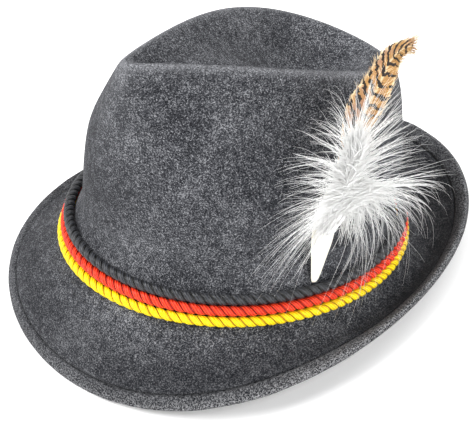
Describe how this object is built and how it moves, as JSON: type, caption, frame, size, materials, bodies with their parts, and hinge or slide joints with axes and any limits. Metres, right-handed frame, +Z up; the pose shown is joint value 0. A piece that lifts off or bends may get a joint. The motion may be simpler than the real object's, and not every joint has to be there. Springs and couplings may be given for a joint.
{
  "type": "tyrolean hat",
  "caption": "Hollow felt hat with a teardrop crown, a brim snapped down in front, three twisted cords round its foot and an upright plume.",
  "frame": {"origin": "middle of the bounding box's lower face, on the surface that the hat lies on", "axes": "+Z up, -Y the brim's front, +X the wearer's left side with the plume; the hat lies on its brim's front edge and on the roll of its back, so its foot is tilted up in front by about 9 degrees"},
  "size_m": [0.2408, 0.2984, 0.1733],
  "materials": {
    "felt": "matt mottled grey wool felt",
    "black_cord": "satin, twisted",
    "red_cord": "satin, twisted",
    "yellow_cord": "satin, twisted",
    "quill": "smooth horn",
    "feather": "barred feather vane",
    "fluff": "white down"
  },
  "bodies": {
    "root": {"hat_felt": "felt", "cord_black": "black_cord", "cord_red": "red_cord", "cord_yellow": "yellow_cord", "plume_quill": "quill", "plume_feather": "feather", "plume_fluff": "fluff"}
  },
  "joints": []
}
